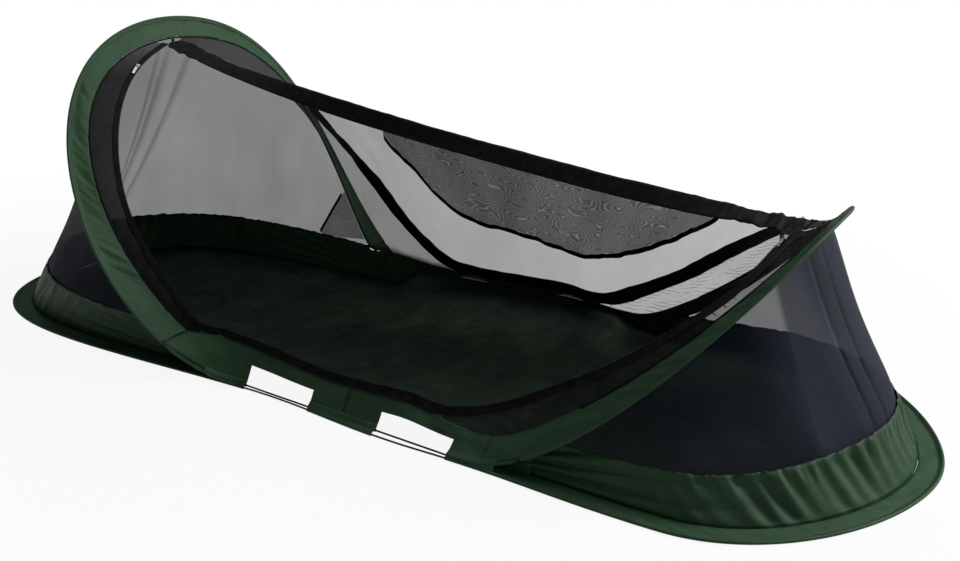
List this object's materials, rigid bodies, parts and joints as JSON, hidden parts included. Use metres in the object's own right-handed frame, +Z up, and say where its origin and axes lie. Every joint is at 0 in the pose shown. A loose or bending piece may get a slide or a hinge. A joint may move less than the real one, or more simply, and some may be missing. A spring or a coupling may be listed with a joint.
{
  "type": "pop-up mosquito net tent",
  "caption": "Low pop-up mosquito net tent for one sleeper: spring wire base and arches in green cloth bands, a ridge band, netting panels and zipped side doors, one thrown over the ridge.",
  "frame": {"origin": "centre of the tent's base, on the ground", "axes": "+X from the head end to the foot end, +Z up, and the open door on the -Y side"},
  "size_m": [2.3, 0.898, 0.7099],
  "materials": {
    "green_cloth": "woven nylon with a faint sheen",
    "black_tape": "matt woven tape",
    "netting": "fine open mesh",
    "groundsheet": "coated cloth",
    "spring_wire": "dark coated spring steel",
    "ferrule": "plain drawn tube",
    "zip_metal": "bright cast metal"
  },
  "bodies": {
    "tent_base": {"base_wire": "spring_wire", "base_ferrule": "ferrule", "near_side_wire": "spring_wire", "far_side_wire_head": "spring_wire", "far_side_wire_foot": "spring_wire", "hoop_ferrule": "ferrule", "near_side_band": "green_cloth", "far_side_band": "green_cloth", "head_base_band": "green_cloth", "foot_base_band": "green_cloth", "groundsheet": "groundsheet", "head_wall": "green_cloth", "foot_wall": "green_cloth", "head_end_net": "netting", "foot_end_net": "netting", "ridge_band": "black_tape", "head_ridge_tie": "black_tape", "foot_ridge_tie": "black_tape", "near_zip_tape": "black_tape", "near_head_net": "netting", "near_foot_net": "netting", "far_zip": "black_tape", "far_door_net": "netting", "far_head_net": "netting", "far_foot_net": "netting", "corner_pocket": "netting", "pocket_binding": "black_tape"},
    "head_arch": {"head_arch_wire": "spring_wire", "head_arch_band": "green_cloth", "head_arch_piping": "black_tape"},
    "foot_arch": {"foot_arch_wire": "spring_wire", "foot_arch_band": "green_cloth", "foot_arch_piping": "black_tape"},
    "near_door": {"near_door_net": "netting", "near_door_tape": "black_tape"},
    "near_head_zip_slider": {"near_head_slider": "zip_metal"},
    "near_head_zip_pull": {"near_head_pull": "zip_metal"},
    "near_foot_zip_slider": {"near_foot_slider": "zip_metal"},
    "near_foot_zip_pull": {"near_foot_pull": "zip_metal"},
    "far_foot_zip_slider": {"far_foot_slider": "zip_metal"},
    "far_foot_zip_pull": {"far_foot_pull": "zip_metal"}
  },
  "joints": [
    {"name": "foot_arch_fold", "type": "hinge", "parent": "tent_base", "child": "foot_arch", "pos_m": [0.47984, 0, 0.03139], "axis": [0, -1, 0], "range_deg": [0, 130], "deforming": ["near_side_band", "far_side_band", "groundsheet", "head_wall", "foot_wall", "head_end_net", "foot_end_net", "ridge_band", "head_ridge_tie", "foot_ridge_tie", "near_zip_tape", "near_head_net", "near_foot_net", "far_zip", "far_door_net", "far_head_net", "far_foot_net", "corner_pocket", "pocket_binding", "near_door_net", "near_door_tape"]},
    {"name": "head_arch_fold", "type": "hinge", "parent": "tent_base", "child": "head_arch", "pos_m": [-0.37773, 0, 0.07972], "axis": [0, -1, 0], "range_deg": [0, 63.1]},
    {"name": "near_door_swing", "type": "hinge", "parent": "tent_base", "child": "near_door", "pos_m": [-0.09082, 0, 0.54359], "axis": [-0.9929, 0, 0.1186], "range_deg": [-270, 0]},
    {"name": "near_head_zip_slide", "type": "slide", "parent": "head_arch", "child": "near_head_zip_slider", "axis": [0.2778, -0.8283, -0.4866], "range_m": [0, 0.03]},
    {"name": "near_head_pull_swing", "type": "hinge", "parent": "near_head_zip_slider", "child": "near_head_zip_pull", "pos_m": [-0.64507, -0.16801, 0.61993], "axis": [-0.7676, -0.496, 0.4059], "range_deg": [0, 150]},
    {"name": "near_foot_zip_slide", "type": "slide", "parent": "foot_arch", "child": "near_foot_zip_slider", "axis": [-0.2017, -0.8842, -0.4214], "range_m": [0, 0.03]},
    {"name": "near_foot_pull_swing", "type": "hinge", "parent": "near_foot_zip_slider", "child": "near_foot_zip_pull", "pos_m": [0.83177, -0.06826, 0.4249], "axis": [-0.944, 0.2902, -0.1572], "range_deg": [0, 110]},
    {"name": "far_foot_zip_slide", "type": "slide", "parent": "foot_arch", "child": "far_foot_zip_slider", "axis": [-0.5993, 0.6979, -0.392], "range_m": [0, 0.03]},
    {"name": "far_foot_pull_swing", "type": "hinge", "parent": "far_foot_zip_slider", "child": "far_foot_zip_pull", "pos_m": [0.8315, 0.06543, 0.42596], "axis": [0.7784, 0.6225, -0.0818], "range_deg": [0, 110]}
  ],
  "couplings": [
    {"joint": "head_arch_fold", "follows": "foot_arch_fold", "ratio": 0.485}
  ]
}
